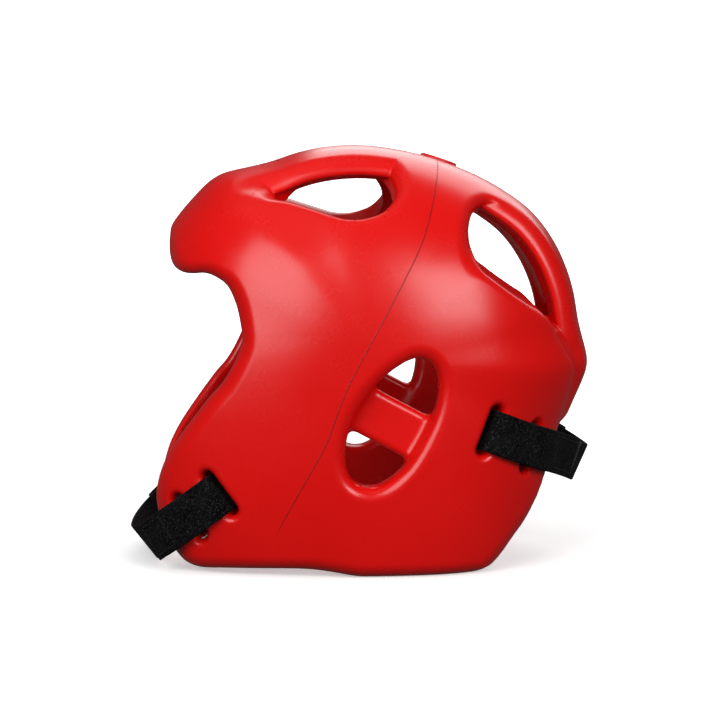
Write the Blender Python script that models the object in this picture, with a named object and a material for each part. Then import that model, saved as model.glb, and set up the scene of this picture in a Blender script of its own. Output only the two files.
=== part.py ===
"""Dipped-foam head guard for kickboxing and karate: a one-piece moulded shell with two webbing straps.

The guard stands on the lower edge of its side flaps. +Z is up, the wearer's face looks towards -X,
and the wearer's left side is at -Y. The origin is the middle of the footprint, on the table. Metres.
"""

import math

import bmesh
import bpy
from mathutils import Vector

# ---- Driving dimensions -------------------------------------------------------------------------

# The head form: every outline is read as a radius about this centre, in the X-Z plane.
FORM_CENTRE = Vector((0.010, 0.0, 0.1292))
FORM_ROUNDNESS = 2.3
OUTER_HALF_WIDTH = 0.104
INNER_HALF_WIDTH = 0.083

# Degrees from +X towards +Z, and the radius of the shell's outer and inner faces there.
FORM_PROFILE = (
    (-25, 0.1264, 0.1100), (-16, 0.1264, 0.1110), (-9, 0.1295, 0.1120), (-4, 0.1320, 0.1125),
    (1, 0.1290, 0.1120), (8, 0.1261, 0.1110), (15, 0.1269, 0.1100), (23, 0.1276, 0.1095),
    (32, 0.1281, 0.1090), (42, 0.1275, 0.1085), (50, 0.1252, 0.1075), (58, 0.1234, 0.1065),
    (68, 0.1219, 0.1063), (83, 0.1226, 0.1065), (100, 0.1266, 0.1090), (112, 0.1298, 0.1115),
    (120, 0.1320, 0.1130), (127, 0.1382, 0.1145), (132, 0.1444, 0.1155), (136, 0.1458, 0.1165),
    (141, 0.1462, 0.1172), (147, 0.1474, 0.1180), (152, 0.1475, 0.1184), (158, 0.1464, 0.1190),
    (165, 0.1470, 0.1195), (174, 0.1515, 0.1210), (188, 0.1610, 0.1290), (200, 0.1725, 0.1450),
    (213, 0.1890, 0.1650), (230, 0.2130, 0.1880), (262, 0.2400, 0.2080), (283, 0.2250, 0.1960),
    (297, 0.1890, 0.1650), (308, 0.1610, 0.1410), (322, 0.1405, 0.1210),
)
FORM_SEGMENTS = 60
FORM_RINGS = 22

# Side-view outlines (X, Z), cut straight through from one side to the other.
FACE_OPENING = (
    (-0.1500, 0.2100), (-0.1240, 0.2010), (-0.1196, 0.1945), (-0.1182, 0.1895), (-0.1160, 0.1838),
    (-0.1128, 0.1800), (-0.1075, 0.1778), (-0.1010, 0.1776), (-0.0950, 0.1782), (-0.0885, 0.1764),
    (-0.0812, 0.1712), (-0.0762, 0.1607), (-0.0736, 0.1492), (-0.0728, 0.1380), (-0.0775, 0.1260),
    (-0.0845, 0.1142), (-0.0938, 0.1034), (-0.1103, 0.0809), (-0.1175, 0.0692), (-0.1222, 0.0587),
    (-0.1248, 0.0472), (-0.1246, 0.0392), (-0.1226, 0.0297), (-0.1190, 0.0212), (-0.1140, 0.0122),
    (-0.1075, 0.0053),
)
# The lower edge of the shell, from the face opening back to where the flaps rest on the table.
LOWER_EDGE = (
    (-0.0985, 0.0025), (-0.0850, 0.0031), (-0.0720, 0.0037), (-0.0480, 0.0045), (-0.0340, 0.0044),
    (-0.0225, 0.0031), (-0.0145, 0.0017), (-0.0075, 0.0005), (-0.0010, -0.0002),
)
EAR_OPENING = (
    (-0.0130, 0.0712), (-0.0090, 0.0932), (0.0060, 0.1162), (0.0270, 0.1302), (0.0400, 0.1232),
    (0.0395, 0.1002), (0.0250, 0.0712), (0.0080, 0.0562), (-0.0070, 0.0572),
)
EAR_BAR_CENTRE = Vector((0.0130, 0.0, 0.0920))
EAR_BAR_TILT = math.radians(28.0)
EAR_BAR_HEIGHT = 0.028
EAR_BAR_LENGTH = 0.062
EAR_BAR_OUTER_Y = 0.0915
EAR_BAR_INNER_Y = 0.0815

# The rear edge of the side flaps, up to where the back of the shell joins them.
FLAP_EDGE = (
    (0.0500, -0.0085), (0.0610, -0.0045), (0.0688, -0.0012), (0.0750, 0.0025), (0.0798, 0.0065),
    (0.0846, 0.0116), (0.0898, 0.0178), (0.0960, 0.0243), (0.1020, 0.0313), (0.1070, 0.0387),
    (0.1106, 0.0457), (0.1155, 0.0582), (0.1203, 0.0702), (0.1235, 0.0812),
)
# The arch over the nape (half width, Z), cut through the back wall only.
NAPE_ARCH = (
    (0.0610, -0.0200), (0.0600, 0.0000), (0.0570, 0.0222), (0.0525, 0.0432), (0.0465, 0.0612),
    (0.0360, 0.0762), (0.0180, 0.0842),
)
NAPE_ARCH_FRONT_X = 0.045

# Crown vents, left side: points of the rim on the outer face, and the point the walls run towards.
# The crown band between the vents keeps its full width, and its underside slopes in.
FRONT_VENT = (
    (-0.0545, -0.0575, 0.2272), (-0.0447, -0.0645, 0.2239), (-0.0347, -0.0708, 0.2204),
    (-0.0222, -0.0771, 0.2163), (-0.0125, -0.0802, 0.2137), (-0.0020, -0.0808, 0.2137),
    (0.0085, -0.0781, 0.2174), (0.0155, -0.0719, 0.2243), (0.0182, -0.0651, 0.2307),
    (0.0176, -0.0580, 0.2350), (0.0150, -0.0460, 0.2410), (0.0070, -0.0290, 0.2500),
    (-0.0100, -0.0210, 0.2540), (-0.0380, -0.0240, 0.2480), (-0.0540, -0.0390, 0.2385),
    (-0.0580, -0.0500, 0.2315),
)
REAR_VENT = (
    (0.0610, -0.0780, 0.2011), (0.0620, -0.0725, 0.2075), (0.0645, -0.0665, 0.2135),
    (0.0695, -0.0605, 0.2180), (0.0770, -0.0560, 0.2200), (0.0870, -0.0500, 0.2150),
    (0.0980, -0.0400, 0.2120), (0.1100, -0.0280, 0.2040), (0.1250, -0.0180, 0.1850),
    (0.1340, -0.0160, 0.1600), (0.1350, -0.0280, 0.1390), (0.1290, -0.0460, 0.1345),
    (0.1190, -0.0580, 0.1400), (0.1064, -0.0701, 0.1527), (0.0965, -0.0769, 0.1592),
    (0.0871, -0.0817, 0.1654), (0.0758, -0.0853, 0.1736), (0.0670, -0.0865, 0.1808),
    (0.0620, -0.0830, 0.1920),
)

FRONT_VENT_AIM = Vector((0.010, 0.0, 0.1292))
REAR_VENT_AIM = Vector((0.060, 0.0, 0.2040))
VENT_REACH = (0.35, 1.40)
BAND_HALF_WIDTH = 0.0480
BAND_INNER_HALF_WIDTH = 0.028
BAND_SIDE_HEIGHT = 0.0077
BAND_DEPTH = 0.018
BAND_CLEARANCE = 0.040
BAND_ENDS = (-40, 200)
BAND_STEPS = 48

CROWN_BADGE_RADIUS = 0.0118
CROWN_BADGE_THICKNESS = 0.0018
CROWN_BADGE_ANGLE = 71.5

# Straps: 25 mm webbing, looped round the bridge between two slots and closed by hook-and-loop.
STRAP_WIDTH = 0.025
WEBBING = 0.0016
TAPE = 0.0010
TAPE_WIDTH = 0.023
GAP = 0.0003
BEHIND_BRIDGE = 0.0022
FOLD = (0.0035, 0.0019)
SLOT_WIDTH = 0.008
SLOT_LENGTH = 0.031
SLOT_SEGMENTS = 20
SLOT_CUT_OUT = 0.015
SLOT_CUT_IN = 0.035
THREAD_RADIUS = 0.00035
STITCH_INSET = 0.0020

# Each strap: its inner slot in side view, the slope of its run, and distances along the run.
STRAPS = {
    "rear": {
        "slot": Vector((0.0730, 0.0, 0.0868)),
        "slope": math.radians(-23.8),
        "slot_spacing": 0.0350,
        "outer_slot_drop": 0.0006,
        "leaves_shell": 0.042,
        "crossing": 0.0715,
        "sag": 0.0025,
        "tail_length": 0.0870,
        "loop_start": 0.0480,
        "loop_end": 0.0980,
    },
    "chin": {
        "slot": Vector((-0.0874, 0.0, 0.0498)),
        "slope": math.radians(180.0 + 39.5),
        "slot_spacing": 0.0262,
        "outer_slot_drop": 0.0005,
        "leaves_shell": 0.040,
        "crossing": 0.0606,
        "sag": 0.0,
        "tail_length": 0.0580,
        "loop_start": 0.0350,
        "loop_end": 0.0640,
    },
}

RED_SKIN = ("foam_skin", (0.62, 0.012, 0.008), 0.38)
RED_BADGE = ("badge_pvc", (0.50, 0.010, 0.012), 0.45)
BLACK_WEBBING = ("webbing", (0.012, 0.012, 0.013), 0.85)
BLACK_LOOP = ("loop_tape", (0.018, 0.018, 0.019), 0.95)
BLACK_HOOK = ("hook_tape", (0.010, 0.010, 0.011), 0.70)
BLACK_THREAD = ("thread", (0.025, 0.025, 0.026), 0.60)

SIDES = {"left": -1.0, "right": 1.0}
Y_AXIS = Vector((0.0, 1.0, 0.0))


# ---- Scene helpers ------------------------------------------------------------------------------


def clear_scene():
    for obj in list(bpy.data.objects):
        bpy.data.objects.remove(obj)


def material(look):
    name, colour, roughness = look
    found = bpy.data.materials.get(name)
    if found:
        return found
    made = bpy.data.materials.new(name)
    made.use_nodes = True
    shader = made.node_tree.nodes["Principled BSDF"]
    shader.inputs["Base Color"].default_value = (*colour, 1.0)
    shader.inputs["Roughness"].default_value = roughness
    shader.inputs["Metallic"].default_value = 0.0
    return made


def add_object(name, mesh, look=None):
    """Links a mesh as an object. With no look it is a cutter, which is left out of the model."""
    obj = bpy.data.objects.new(name, mesh)
    bpy.context.scene.collection.objects.link(obj)
    if look is None:
        obj.hide_render = True
        obj.display_type = "WIRE"
    else:
        mesh.materials.append(material(look))
    return obj


def mesh_from(name, bm):
    bmesh.ops.recalc_face_normals(bm, faces=bm.faces)
    mesh = bpy.data.meshes.new(name)
    bm.to_mesh(mesh)
    bm.free()
    return mesh


def boolean(obj, other, operation="DIFFERENCE"):
    modifier = obj.modifiers.new(f"{operation.lower()}_{other.name}", "BOOLEAN")
    modifier.operation = operation
    modifier.object = other


# ---- Curves -------------------------------------------------------------------------------------


def spline_point(a, b, c, d, t):
    """Catmull-Rom between b and c."""
    linear = (c - a) * t
    square = (2 * a - 5 * b + 4 * c - d) * t * t
    cube = (3 * b - a - 3 * c + d) * t * t * t
    return b + 0.5 * (linear + square + cube)


def smooth_loop(points, per_span):
    """A closed smooth curve through the points."""
    count = len(points)
    made = []
    for i in range(count):
        four = [Vector(points[(i + k) % count]) for k in (-1, 0, 1, 2)]
        made += [spline_point(*four, step / per_span) for step in range(per_span)]
    return made


def smooth_path(points, per_span):
    """An open smooth curve through the points."""
    points = [Vector(p) for p in points]
    padded = [2 * points[0] - points[1], *points, 2 * points[-1] - points[-2]]
    made = []
    for i in range(len(points) - 1):
        made += [spline_point(*padded[i : i + 4], step / per_span) for step in range(per_span)]
    return [*made, points[-1]]


# ---- The head form ------------------------------------------------------------------------------


def form_radius(angle, inner):
    """Radius of the outer or inner face in the X-Z plane, at an angle in radians."""
    knots = [(math.radians(k[0]), k[2] if inner else k[1]) for k in FORM_PROFILE]
    turn = 2 * math.pi
    while angle < knots[0][0]:
        angle += turn
    while angle >= knots[0][0] + turn:
        angle -= turn
    count = len(knots)
    index = max(i for i in range(count) if knots[i][0] <= angle)

    def knot(i):
        return knots[i % count][0] + turn * (i // count), knots[i % count][1]

    (a0, r0), (a1, r1), (a2, r2), (a3, r3) = (knot(index + k) for k in (-1, 0, 1, 2))
    span = a2 - a1
    t = (angle - a1) / span
    start = (r2 - r0) / (a2 - a0) * span
    end = (r3 - r1) / (a3 - a1) * span
    return (
        (2 * t**3 - 3 * t**2 + 1) * r1
        + (t**3 - 2 * t**2 + t) * start
        + (3 * t**2 - 2 * t**3) * r2
        + (t**3 - t**2) * end
    )


def half_width(x, z, inner=False):
    """How far the face stands from the middle plane at a side-view position, or None outside it."""
    dx, dz = x - FORM_CENTRE.x, z - FORM_CENTRE.z
    share = math.hypot(dx, dz) / form_radius(math.atan2(dz, dx), inner)
    if share >= 1.0:
        return None
    widest = INNER_HALF_WIDTH if inner else OUTER_HALF_WIDTH
    return widest * (1.0 - share**FORM_ROUNDNESS) ** (1.0 / FORM_ROUNDNESS)


def form_mesh(name, inner):
    """The closed head form, with its poles at the ears."""
    widest = INNER_HALF_WIDTH if inner else OUTER_HALF_WIDTH
    power = 2.0 / FORM_ROUNDNESS
    bm = bmesh.new()
    rings = []
    for i in range(1, FORM_RINGS):
        lift = -math.pi / 2 + math.pi * i / FORM_RINGS
        out = math.cos(lift) ** power
        side = math.copysign(abs(math.sin(lift)) ** power, lift) * widest
        ring = []
        for j in range(FORM_SEGMENTS):
            angle = 2 * math.pi * j / FORM_SEGMENTS
            radius = form_radius(angle, inner) * out
            place = FORM_CENTRE + Vector((radius * math.cos(angle), side, radius * math.sin(angle)))
            ring.append(bm.verts.new(place))
        rings.append(ring)
    for low, high in zip(rings, rings[1:]):
        for j in range(FORM_SEGMENTS):
            k = (j + 1) % FORM_SEGMENTS
            bm.faces.new((low[j], low[k], high[k], high[j]))
    for ring, side in ((rings[0], -widest), (rings[-1], widest)):
        pole = bm.verts.new(FORM_CENTRE + Y_AXIS * side)
        for j in range(FORM_SEGMENTS):
            bm.faces.new((ring[j], ring[(j + 1) % FORM_SEGMENTS], pole))
    for face in bm.faces:
        face.smooth = True
    return mesh_from(name, bm)


# ---- Solids -------------------------------------------------------------------------------------


def prism(name, loop, travel, look=None):
    """A flat closed loop, swept along the vector travel."""
    bm = bmesh.new()
    face = bm.faces.new([bm.verts.new(p) for p in loop])
    swept = bmesh.ops.extrude_face_region(bm, geom=[face])["geom"]
    bmesh.ops.translate(bm, verts=[v for v in swept if isinstance(v, bmesh.types.BMVert)], vec=travel)
    return add_object(name, mesh_from(name, bm), look)


def side_prism(name, outline, reach=0.2):
    """A side-view outline, cut across the whole width."""
    return prism(name, [(x, -reach, z) for x, z in outline], Y_AXIS * 2 * reach)


def face_cutter():
    """Everything in front of the face opening's edge and under the lower edge."""
    rim = smooth_path([(x, z, 0.0) for x, z in (*FACE_OPENING, *LOWER_EDGE)], 3)
    outline = [(p.x, p.y) for p in rim]
    corners = [(LOWER_EDGE[-1][0], -0.03), (-0.26, -0.03), (-0.26, FACE_OPENING[0][1])]
    return side_prism("cut_face", [*outline, *corners])


def flap_cutter():
    """Everything behind the rear edge of the flaps."""
    rim = smooth_path([(x, z, 0.0) for x, z in FLAP_EDGE], 3)
    outline = [(p.x, p.y) for p in rim]
    return side_prism("cut_flaps", [*outline, (0.26, FLAP_EDGE[-1][1]), (0.26, FLAP_EDGE[0][1])])


def nape_cutter():
    half = smooth_path([(y, z, 0.0) for y, z in NAPE_ARCH], 3)
    outline = [(p.x, p.y) for p in half] + [(-p.x, p.y) for p in reversed(half)]
    loop = [(NAPE_ARCH_FRONT_X, y, z) for y, z in outline]
    return prism("cut_nape", loop, Vector((0.2, 0.0, 0.0)))


def band_guard():
    """The space the crown band needs, which the vents leave alone."""
    corners = [(BAND_HALF_WIDTH, -BAND_CLEARANCE), (BAND_HALF_WIDTH, BAND_SIDE_HEIGHT)]
    corners += [(BAND_INNER_HALF_WIDTH, BAND_DEPTH), (0.0, BAND_DEPTH)]
    corners += [(-y, depth) for y, depth in reversed(corners[:-1])]
    bm = bmesh.new()
    rings = []
    for i in range(BAND_STEPS + 1):
        angle = math.radians(BAND_ENDS[0] + (BAND_ENDS[1] - BAND_ENDS[0]) * i / BAND_STEPS)
        outward = Vector((math.cos(angle), 0.0, math.sin(angle)))
        ring = []
        for y, depth in corners:
            out = (1.0 - (abs(y) / OUTER_HALF_WIDTH) ** FORM_ROUNDNESS) ** (1.0 / FORM_ROUNDNESS)
            radius = form_radius(angle, inner=False) * out - depth
            ring.append(bm.verts.new(FORM_CENTRE + outward * radius + Y_AXIS * y))
        rings.append(ring)
    for near, far in zip(rings, rings[1:]):
        for j in range(len(corners)):
            k = (j + 1) % len(corners)
            bm.faces.new((near[j], near[k], far[k]))
            bm.faces.new((near[j], far[k], far[j]))
    for ring in (rings[0], rings[-1]):
        bm.faces.new(ring)
    return add_object("cut_guard_band", mesh_from("cut_guard_band", bm))


def vent_cutter(name, rim, aim, side, guard):
    """A cone through the rim, from inside the shell to outside it, clear of the crown band."""
    loop = smooth_loop([(x, -side * y, z) for x, y, z in rim], 3)
    bm = bmesh.new()
    ends = []
    for reach in VENT_REACH:
        ends.append([bm.verts.new(aim + (p - aim) * reach) for p in loop])
    for i in range(len(loop)):
        k = (i + 1) % len(loop)
        bm.faces.new((ends[0][i], ends[0][k], ends[1][k], ends[1][i]))
    bm.faces.new(ends[0])
    bm.faces.new(ends[1])
    bmesh.ops.triangulate(bm, faces=[f for f in bm.faces if len(f.verts) > 4])
    cutter = add_object(name, mesh_from(name, bm))
    boolean(cutter, guard)
    return cutter


def ear_bar(name, side):
    """The bar across an ear opening: moulded with the shell, set back from its outer face."""
    along = Vector((math.cos(EAR_BAR_TILT), 0.0, -math.sin(EAR_BAR_TILT)))
    up = Vector((math.sin(EAR_BAR_TILT), 0.0, math.cos(EAR_BAR_TILT)))
    corners = [(-1, -1), (1, -1), (1, 1), (-1, 1)]
    start = EAR_BAR_CENTRE + Y_AXIS * side * EAR_BAR_INNER_Y
    loop = [start + along * a * EAR_BAR_LENGTH / 2 + up * b * EAR_BAR_HEIGHT / 2 for a, b in corners]
    return prism(name, loop, Y_AXIS * side * (EAR_BAR_OUTER_Y - EAR_BAR_INNER_Y))


# ---- Straps -------------------------------------------------------------------------------------

class StrapRun:
    """One side of a strap: where it goes from its inner slot to the middle plane.

    The run follows the shell's outer face, leaves it near the edge and bends round to cross to the
    other side. A place by the run is (u, lift, across): u along it from the inner slot, lift square
    to the face of the strap, and across towards the strap's upper edge.
    """

    STEP = 0.002
    BEHIND_SLOT = 0.012
    BEND_STEPS = 10

    def __init__(self, size, side):
        self.side = side
        self.slot = size["slot"]
        self.sag = size["sag"]
        self.along = Vector((math.cos(size["slope"]), 0.0, math.sin(size["slope"])))
        self.upward = self.along.cross(Y_AXIS)
        if self.upward.z < 0:
            self.upward.negate()
        self.line, self.twist = [], []
        self._lay_on_shell(size["leaves_shell"])
        self._bend_round(size["crossing"])
        self.marks = self._measure()

    def _lay_on_shell(self, leaves_shell):
        steps = round((leaves_shell + self.BEHIND_SLOT) / self.STEP)
        for i in range(steps + 1):
            s = leaves_shell - (steps - i) * self.STEP
            place = self.slot + self.along * s
            rise = self._slope(place, self.upward)
            run = self._slope(place, self.along)
            self.line.append(Vector((s, half_width(place.x, place.z))))
            self.twist.append(math.atan2(rise, math.hypot(1.0, run)))

    def _slope(self, place, direction):
        small = 0.0005
        ahead, behind = place + direction * small, place - direction * small
        return (half_width(ahead.x, ahead.z) - half_width(behind.x, behind.z)) / (2 * small)

    def _bend_round(self, crossing):
        start, twist = self.line[-1], self.twist[-1]
        heading = start - self.line[-2]
        corner = start + heading * ((crossing - start.x) / heading.x)
        end = Vector((crossing, 0.0))
        for i in range(1, self.BEND_STEPS + 1):
            t = i / self.BEND_STEPS
            self.line.append(start * (1 - t) ** 2 + corner * 2 * t * (1 - t) + end * t**2)
            self.twist.append(twist * (1 - t) ** 2)

    def _measure(self):
        """How far along the strap each point of the line is, with the inner slot at zero."""
        walked = [0.0]
        for a, b in zip(self.line, self.line[1:]):
            walked.append(walked[-1] + (b - a).length)
        first = max(i for i, p in enumerate(self.line) if p.x <= 0.0)
        share = -self.line[first].x / (self.line[first + 1].x - self.line[first].x)
        origin = walked[first] + share * (walked[first + 1] - walked[first])
        self.free_from = walked[len(self.line) - 1 - self.BEND_STEPS] - origin
        return [w - origin for w in walked]

    @property
    def length(self):
        return self.marks[-1]

    def _tangent(self, i):
        if i == len(self.line) - 1:
            return Vector((0.0, -1.0))
        return (self.line[i + 1] - self.line[max(i - 1, 0)]).normalized()

    def point(self, u, lift=0.0, across=0.0):
        i = max([k for k, mark in enumerate(self.marks[:-1]) if mark <= u], default=0)
        share = (u - self.marks[i]) / (self.marks[i + 1] - self.marks[i])
        place = self.line[i].lerp(self.line[i + 1], share)
        tangent = self._tangent(i).lerp(self._tangent(i + 1), share).normalized()
        twist = self.twist[i] + (self.twist[i + 1] - self.twist[i]) * share
        rise = lift * math.cos(twist) + across * math.sin(twist)
        free = max(0.0, (u - self.free_from) / (self.length - self.free_from))
        over = across * math.cos(twist) - lift * math.sin(twist) - self.sag * free * free
        place = place + Vector((-tangent.y, tangent.x)) * rise
        return self.slot + self.along * place.x + self.upward * over + Y_AXIS * self.side * place.y

    def wall(self, u):
        """How deep the shell goes under the strap's width at u."""
        depth = 0.0
        for across in (-STRAP_WIDTH / 2, 0.0, STRAP_WIDTH / 2):
            while depth < 0.06:
                place = self.point(u, -depth, across)
                inside = half_width(place.x, place.z, inner=True)
                if inside is not None and abs(place.y) < inside:
                    break
                depth += 0.0002
        return depth


def spaced(first, last, step=0.0025):
    count = max(2, round(abs(last - first) / step))
    return [first + (last - first) * i / count for i in range(count + 1)]


def rounded_marks(marks, per_span):
    """A smooth line through (u, lift) places."""
    return [(p.x, p.y) for p in smooth_path([(u, lift, 0.0) for u, lift in marks], per_span)]


def strap_edges(run, marks, width):
    """The two edges of a band's middle surface at each (u, lift) place."""
    reach = width / 2
    return [(run.point(u, lift, -reach), run.point(u, lift, reach)) for u, lift in marks]


def ribbon(name, edges, thickness, look):
    """A band of constant thickness between two edges, closed at both ends."""
    bm = bmesh.new()
    middles = [(low + high) / 2 for low, high in edges]
    rings = []
    for i, (low, high) in enumerate(edges):
        tangent = middles[min(i + 1, len(middles) - 1)] - middles[max(i - 1, 0)]
        square = (high - low).cross(tangent).normalized() * thickness / 2
        corners = (low - square, high - square, high + square, low + square)
        rings.append([bm.verts.new(p) for p in corners])
    for near, far in zip(rings, rings[1:]):
        for j, k in ((0, 1), (3, 2)):
            bm.faces.new((near[j], near[k], far[k]))
            bm.faces.new((near[j], far[k], far[j]))
        for j, k in ((1, 2), (3, 0)):
            bm.faces.new((near[j], near[k], far[k], far[j]))
    bm.faces.new(rings[0])
    bm.faces.new(rings[-1])
    return add_object(name, mesh_from(name, bm), look)


def slot_cutter(name, run, u, drop=0.0):
    """A slot with round ends through the shell, square to its face."""
    centre = run.point(u, 0.0, -drop)
    outward = (run.point(u, 0.001, -drop) - centre).normalized()
    upward = (run.point(u, 0.0, 0.001 - drop) - centre).normalized()
    forward = upward.cross(outward)
    radius = SLOT_WIDTH / 2
    loop = []
    for i in range(SLOT_SEGMENTS):
        angle = 2 * math.pi * (i + 0.5) / SLOT_SEGMENTS
        end = math.copysign(SLOT_LENGTH / 2 - radius, math.sin(angle))
        place = forward * radius * math.cos(angle) + upward * (end + radius * math.sin(angle))
        loop.append(centre + place + outward * SLOT_CUT_OUT)
    return prism(name, loop, -outward * (SLOT_CUT_OUT + SLOT_CUT_IN))


def main_marks(run, size):
    """One half of the strap: out of the inner slot, behind the bridge, out of the outer slot, across."""
    outer = size["slot_spacing"]
    lift = GAP + WEBBING / 2
    behind = [(u, -run.wall(u) - BEHIND_BRIDGE) for u in (0.0060, outer / 2, outer - 0.0060)]
    marks = [(0.0005, -0.0035), (0.0005, -0.0080), (0.0015, behind[0][1] + 0.0040), *behind]
    marks += [(outer - 0.0015, behind[2][1] + 0.0040), (outer - 0.0008, -0.0080)]
    marks += [(outer - 0.0004, -0.0035), (outer + 0.0022, 0.0006), (outer + 0.0050, lift)]
    return rounded_marks(marks, 3) + [(u, lift) for u in spaced(outer + 0.0070, run.length)]


def tail_marks(size):
    """The end that folds back over the bridge and lies on the strap."""
    lift = 4 * GAP + 1.5 * WEBBING + 2 * TAPE
    outer = size["slot_spacing"]
    marks = [FOLD, (0.0090, 0.0030), (outer - 0.0080, 0.0044), (outer + 0.0020, lift)]
    rest = spaced(outer + 0.0050, size["tail_length"])
    return rounded_marks(marks, 4) + [(u, lift) for u in rest]


def add_strap(name, size):
    """The webbing that runs from one side's slots to the other's."""
    halves = []
    for side in SIDES.values():
        run = StrapRun(size, side)
        halves.append(strap_edges(run, main_marks(run, size), STRAP_WIDTH))
    left, right = halves
    return ribbon(f"{name}_strap", left + right[-2::-1], WEBBING, BLACK_WEBBING)


def add_tape(name, run, first, last, low, look):
    """A tape laid along the strap between two places, low being its underside."""
    marks = [(u, low + TAPE / 2) for u in spaced(first, last)]
    return ribbon(name, strap_edges(run, marks, TAPE_WIDTH), TAPE, look)


def box_stitch(name, run, first, last, lift):
    """One thread, sewn round the edge of a tape, as a closed tube."""
    reach = TAPE_WIDTH / 2 - STITCH_INSET
    marks = spaced(first, last)
    loop = [run.point(u, lift, reach) for u in marks]
    loop += [run.point(u, lift, -reach) for u in reversed(marks)]
    curve = bpy.data.curves.new(name, "CURVE")
    curve.dimensions = "3D"
    curve.bevel_depth = THREAD_RADIUS
    curve.bevel_resolution = 1
    spline = curve.splines.new("POLY")
    spline.points.add(len(loop) - 1)
    for point, place in zip(spline.points, loop):
        point.co = (*place, 1.0)
    spline.use_cyclic_u = True
    return add_object(name, curve, BLACK_THREAD)


def add_closure(name, size, side_name):
    """The tail of one side with its hook tape and stitching, and the loop tape it closes on."""
    run = StrapRun(size, SIDES[side_name])
    loop_low = 2 * GAP + WEBBING
    hook_low = loop_low + TAPE + GAP
    stitch_lift = hook_low + TAPE + 2 * GAP + WEBBING + THREAD_RADIUS
    first, end = size["loop_start"], size["tail_length"]
    add_tape(f"{name}_loop_tape_{side_name}", run, first, size["loop_end"], loop_low, BLACK_LOOP)
    edges = strap_edges(run, tail_marks(size), STRAP_WIDTH)
    tail = ribbon(f"{name}_tail_{side_name}", edges, WEBBING, BLACK_WEBBING)
    hook_name = f"{name}_hook_tape_{side_name}"
    hook = add_tape(hook_name, run, first + 0.002, end - 0.001, hook_low, BLACK_HOOK)
    stitch_name = f"{name}_hook_stitching_{side_name}"
    stitch = box_stitch(stitch_name, run, first + 0.004, end - 0.003, stitch_lift)
    hang_on_fold(name, side_name, run.point(*FOLD), (tail, hook, stitch))


def hang_on_fold(name, side_name, hinge, pieces):
    """Parents a tail's pieces to an empty on its fold line."""
    empty = bpy.data.objects.new(f"{name}_fold_{side_name}", None)
    bpy.context.scene.collection.objects.link(empty)
    empty.location = hinge
    for piece in pieces:
        piece.parent = empty
        piece.location = -hinge


# ---- Assembly -----------------------------------------------------------------------------------


def add_shell():
    shell = add_object("foam_shell", form_mesh("foam_shell", inner=False), RED_SKIN)
    boolean(shell, add_object("cut_inside", form_mesh("cut_inside", inner=True)))
    boolean(shell, side_prism("cut_below", [(-0.3, -0.2), (0.3, -0.2), (0.3, 0.0), (-0.3, 0.0)]))
    boolean(shell, face_cutter())
    boolean(shell, flap_cutter())
    boolean(shell, nape_cutter())
    ear = [(p.x, p.y) for p in smooth_loop([(x, z, 0.0) for x, z in EAR_OPENING], 4)]
    boolean(shell, side_prism("cut_ears", ear))
    guard = band_guard()
    for side_name, side in SIDES.items():
        boolean(shell, ear_bar(f"add_ear_bar_{side_name}", side), "UNION")
        for name, rim, aim in (("front", FRONT_VENT, FRONT_VENT_AIM), ("rear", REAR_VENT, REAR_VENT_AIM)):
            boolean(shell, vent_cutter(f"cut_{name}_vent_{side_name}", rim, aim, side, guard))
        for name, size in STRAPS.items():
            run = StrapRun(size, side)
            outer, drop = size["slot_spacing"], size["outer_slot_drop"]
            boolean(shell, slot_cutter(f"cut_{name}_inner_slot_{side_name}", run, 0.0))
            boolean(shell, slot_cutter(f"cut_{name}_outer_slot_{side_name}", run, outer, drop))
    return shell


def add_badge():
    """A round badge with nothing on it, on the crown."""
    angle = math.radians(CROWN_BADGE_ANGLE)
    outward = Vector((math.cos(angle), 0.0, math.sin(angle)))
    lift = form_radius(angle, inner=False) + GAP + CROWN_BADGE_THICKNESS / 2
    bm = bmesh.new()
    bmesh.ops.create_cone(
        bm, cap_ends=True, segments=32, depth=CROWN_BADGE_THICKNESS,
        radius1=CROWN_BADGE_RADIUS, radius2=CROWN_BADGE_RADIUS,
    )
    badge = add_object("crown_badge", mesh_from("crown_badge", bm), RED_BADGE)
    badge.location = FORM_CENTRE + outward * lift
    badge.rotation_euler = outward.to_track_quat("Z", "Y").to_euler()
    return badge


def main():
    clear_scene()
    add_shell()
    add_badge()
    for name, size in STRAPS.items():
        add_strap(name, size)
        for side_name in SIDES:
            add_closure(name, size, side_name)


main()
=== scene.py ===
"""Looks of the dipped-foam head guard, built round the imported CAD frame."""

import math

import bpy
import numpy as np
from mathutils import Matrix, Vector


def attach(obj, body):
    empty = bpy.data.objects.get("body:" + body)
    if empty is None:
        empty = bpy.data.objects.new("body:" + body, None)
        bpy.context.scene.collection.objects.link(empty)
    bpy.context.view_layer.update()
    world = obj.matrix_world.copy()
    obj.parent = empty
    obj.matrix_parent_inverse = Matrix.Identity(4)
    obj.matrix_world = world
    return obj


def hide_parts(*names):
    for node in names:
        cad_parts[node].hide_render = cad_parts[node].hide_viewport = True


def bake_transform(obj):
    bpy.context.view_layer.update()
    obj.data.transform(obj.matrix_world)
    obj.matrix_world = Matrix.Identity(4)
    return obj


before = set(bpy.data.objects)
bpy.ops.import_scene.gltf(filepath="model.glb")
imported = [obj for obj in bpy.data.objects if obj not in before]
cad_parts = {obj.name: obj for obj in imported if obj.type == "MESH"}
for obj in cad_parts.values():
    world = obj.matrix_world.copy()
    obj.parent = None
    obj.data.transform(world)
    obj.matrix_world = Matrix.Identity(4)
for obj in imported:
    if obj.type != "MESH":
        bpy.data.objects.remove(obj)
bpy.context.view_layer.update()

# ---- Driving dimensions, in metres, shared with the CAD ----

FORM_CENTRE = np.array((0.010, 0.0, 0.1292))
FORM_ROUNDNESS = 2.3
OUTER_HALF_WIDTH = 0.104
INNER_HALF_WIDTH = 0.083

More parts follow.
